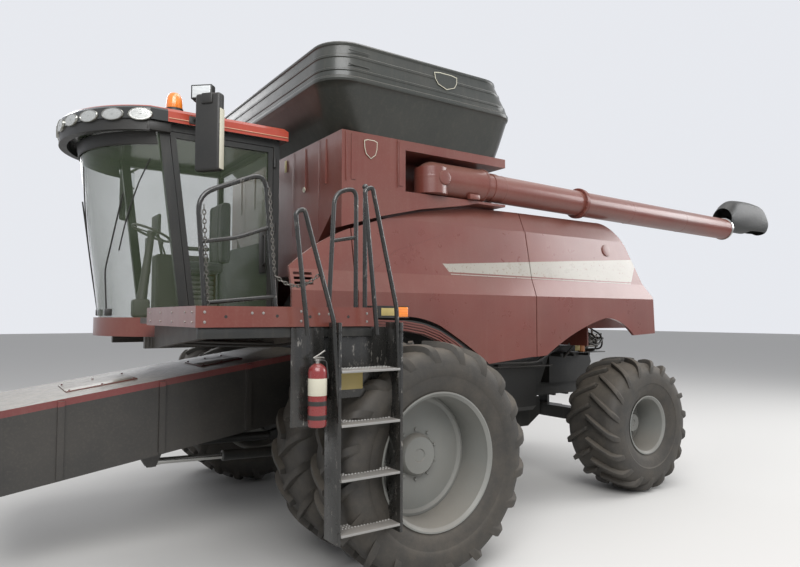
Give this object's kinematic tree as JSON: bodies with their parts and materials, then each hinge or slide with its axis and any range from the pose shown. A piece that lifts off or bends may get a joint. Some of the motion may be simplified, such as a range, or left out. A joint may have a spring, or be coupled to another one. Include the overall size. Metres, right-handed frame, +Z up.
{
  "type": "combine harvester",
  "caption": "Self-propelled grain harvester without its header: cab, open grain tank, stowed unloading auger, feeder house, lifting side panels, twin front wheels and steered rear wheels.",
  "frame": {"origin": "on the ground, in the machine's middle plane, under the middle of its whole length from feeder face to spout tip", "axes": "+X forward, towards the feeder face; +Y to the driver's left, the side of the ladder and the unloading auger; +Z up"},
  "size_m": [10.6, 5.227, 4.64],
  "materials": {
    "red_paint": "aged gloss, dusty",
    "black_paint": "satin, dusty",
    "rim_paint": "satin grey, dusty",
    "tyre_rubber": "matt, dusty",
    "glass": "tinted, clear",
    "black_plastic": "grained",
    "spout_rubber": "matt",
    "amber_plastic": "clear tinted",
    "lamp_lens": "clear",
    "bottle_paint": "gloss",
    "seat_cloth": "woven",
    "bright_steel": "polished",
    "bare_steel": "worn"
  },
  "bodies": {
    "machine": {"amber_lenses": "amber_plastic", "axle_beams": "black_paint", "belt_drives": "black_paint", "cab_controls": "black_plastic", "cab_floor": "red_paint", "cab_frame": "black_paint", "cab_roof": "red_paint", "cab_visor": "black_plastic", "cab_windows": "glass", "chassis_frame": "black_paint", "cleaning_shoe": "black_paint", "deck_fascia": "red_paint", "engine_block": "black_paint", "engine_deck": "black_paint", "fender_lips": "red_paint", "fire_extinguisher": "bottle_paint", "front_fenders": "black_plastic", "front_side_panels": "red_paint", "grain_tank": "red_paint", "guard_rails": "black_paint", "ladder": "black_paint", "operator_seat": "seat_cloth", "platform": "black_paint", "rear_hood": "red_paint", "roof_fittings": "black_plastic", "roof_lamps": "lamp_lens", "separator_housing": "black_paint", "signal_boxes": "black_plastic", "store_boxes": "black_plastic", "straw_chopper": "black_paint", "tank_augers": "bare_steel", "tank_extension": "black_paint"},
    "feeder": {"feeder_house": "red_paint", "feeder_face": "black_paint"},
    "lift_barrels": {"lift_barrels": "black_paint"},
    "lift_rods": {"lift_rods": "bright_steel"},
    "unloader": {"unloading_tube": "red_paint", "unloading_spout": "spout_rubber"},
    "cab_door": {"cab_door": "black_paint", "cab_door_glass": "glass"},
    "left_front_panel": {"left_front_panel": "red_paint"},
    "left_rear_panel": {"left_rear_panel": "red_paint"},
    "right_front_panel": {"right_front_panel": "red_paint"},
    "right_rear_panel": {"right_rear_panel": "red_paint"},
    "front_left_wheels": {"front_left_tyres": "tyre_rubber", "front_left_rims": "rim_paint"},
    "front_right_wheels": {"front_right_tyres": "tyre_rubber", "front_right_rims": "rim_paint"},
    "rear_left_wheel": {"rear_left_tyre": "tyre_rubber", "rear_left_rim": "rim_paint"},
    "rear_right_wheel": {"rear_right_tyre": "tyre_rubber", "rear_right_rim": "rim_paint"},
    "left_knuckle": {"left_knuckle": "black_paint"},
    "right_knuckle": {"right_knuckle": "black_paint"},
    "steering_rod": {"steering_rod": "bright_steel"}
  },
  "joints": [
    {"name": "front_left_roll", "type": "hinge", "parent": "machine", "child": "front_left_wheels", "pos_m": [2.2, 1.91, 0.965], "axis": [0, 1, 0], "continuous": true},
    {"name": "front_right_roll", "type": "hinge", "parent": "machine", "child": "front_right_wheels", "pos_m": [2.2, -1.91, 0.965], "axis": [0, 1, 0], "continuous": true},
    {"name": "left_steer", "type": "hinge", "parent": "machine", "child": "left_knuckle", "pos_m": [-1.55, 1.1, 0.81], "axis": [0, 0, 1], "range_deg": [-30, 30]},
    {"name": "right_steer", "type": "hinge", "parent": "machine", "child": "right_knuckle", "pos_m": [-1.55, -1.1, 0.81], "axis": [0, 0, 1], "range_deg": [-30, 30]},
    {"name": "steering_rod_slide", "type": "slide", "parent": "machine", "child": "steering_rod", "axis": [0, 1, 0], "range_m": [-0.12, 0.12]},
    {"name": "rear_left_roll", "type": "hinge", "parent": "left_knuckle", "child": "rear_left_wheel", "pos_m": [-1.55, 1.525, 0.81], "axis": [0, 1, 0], "continuous": true},
    {"name": "rear_right_roll", "type": "hinge", "parent": "right_knuckle", "child": "rear_right_wheel", "pos_m": [-1.55, -1.525, 0.81], "axis": [0, 1, 0], "continuous": true},
    {"name": "feeder_lift", "type": "hinge", "parent": "machine", "child": "feeder", "pos_m": [2.55, 0, 1.55], "axis": [0, -1, 0], "range_deg": [-8, 12]},
    {"name": "lift_barrel_swing", "type": "hinge", "parent": "machine", "child": "lift_barrels", "pos_m": [2.39, 0, 0.745], "axis": [0, -1, 0], "range_deg": [-9, 13]},
    {"name": "lift_rod_slide", "type": "slide", "parent": "lift_barrels", "child": "lift_rods", "axis": [0.9994, 0, 0.035], "range_m": [-0.14, 0.19]},
    {"name": "unloader_swing", "type": "hinge", "parent": "machine", "child": "unloader", "pos_m": [1.45, 1.39, 3.56], "axis": [0, 0, 1], "range_deg": [-100, 0]},
    {"name": "cab_door_swing", "type": "hinge", "parent": "machine", "child": "cab_door", "pos_m": [2.952, 0.862, 2.9], "axis": [0, 0, 1], "range_deg": [0, 70]},
    {"name": "left_front_panel_lift", "type": "hinge", "parent": "machine", "child": "left_front_panel", "pos_m": [1.3, 1.47, 3.31], "axis": [1, 0, 0], "range_deg": [0, 55]},
    {"name": "left_rear_panel_lift", "type": "hinge", "parent": "machine", "child": "left_rear_panel", "pos_m": [-0.9, 1.33, 3.31], "axis": [1, 0, 0], "range_deg": [0, 55]},
    {"name": "right_front_panel_lift", "type": "hinge", "parent": "machine", "child": "right_front_panel", "pos_m": [1.3, -1.47, 3.31], "axis": [-1, 0, 0], "range_deg": [0, 55]},
    {"name": "right_rear_panel_lift", "type": "hinge", "parent": "machine", "child": "right_rear_panel", "pos_m": [-0.9, -1.33, 3.31], "axis": [-1, 0, 0], "range_deg": [0, 55]}
  ],
  "couplings": [
    {"joint": "right_steer", "follows": "left_steer", "ratio": 1},
    {"joint": "steering_rod_slide", "follows": "left_steer", "m_per_rad": -0.2005},
    {"joint": "lift_barrel_swing", "follows": "feeder_lift", "ratio": 0.867},
    {"joint": "lift_rod_slide", "follows": "feeder_lift", "m_per_rad": 0.794}
  ]
}
